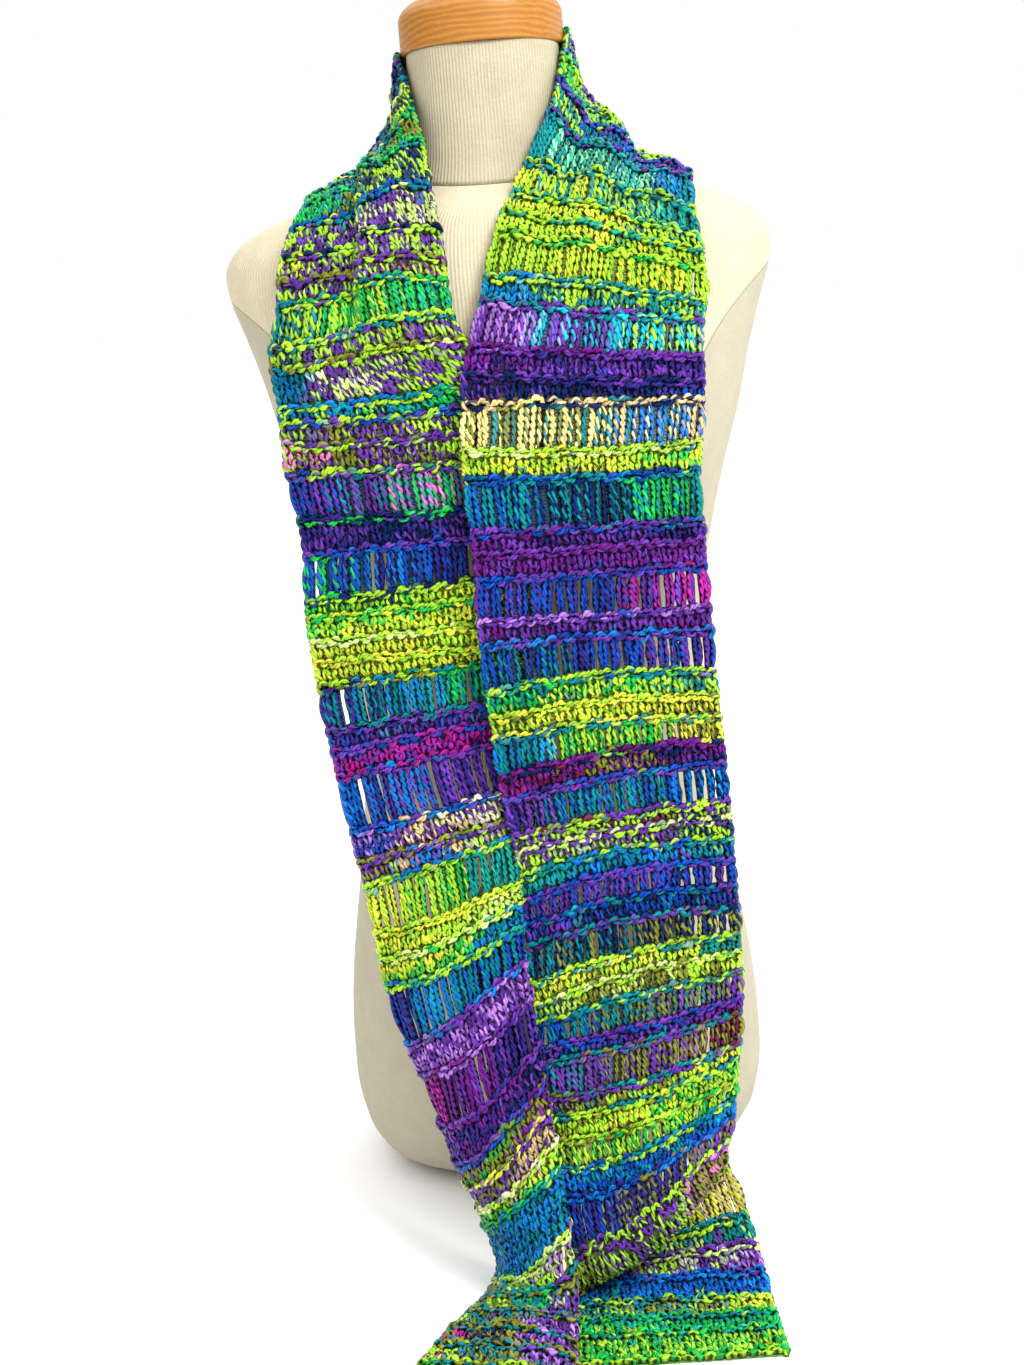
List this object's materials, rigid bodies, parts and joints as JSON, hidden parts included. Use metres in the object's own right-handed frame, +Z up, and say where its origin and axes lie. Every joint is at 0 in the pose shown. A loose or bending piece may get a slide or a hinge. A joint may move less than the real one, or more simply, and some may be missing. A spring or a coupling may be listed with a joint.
{
  "type": "knit scarf draped on a limbless dress form with a wooden neck cap",
  "caption": "Bulky knit scarf worn round the neck of a dress form, both tails down the front and their ends lying on the surface.",
  "frame": {"origin": "centre of the dress form's flat underside", "axes": "+Z up the form, -Y the way the front faces, +X to the right as seen from the front"},
  "size_m": [0.376, 0.4805, 0.84],
  "materials": {
    "scarf_yarn": "soft matt wool",
    "form_jersey": "matt ribbed jersey",
    "form_wood": "satin"
  },
  "bodies": {
    "root": {"form_torso": "form_jersey", "form_neck": "form_jersey", "form_cap": "form_wood", "scarf_left_neck": "scarf_yarn", "scarf_left_fall": "scarf_yarn", "scarf_left_end": "scarf_yarn", "scarf_right_neck": "scarf_yarn", "scarf_right_fall": "scarf_yarn", "scarf_right_end": "scarf_yarn"}
  },
  "joints": []
}
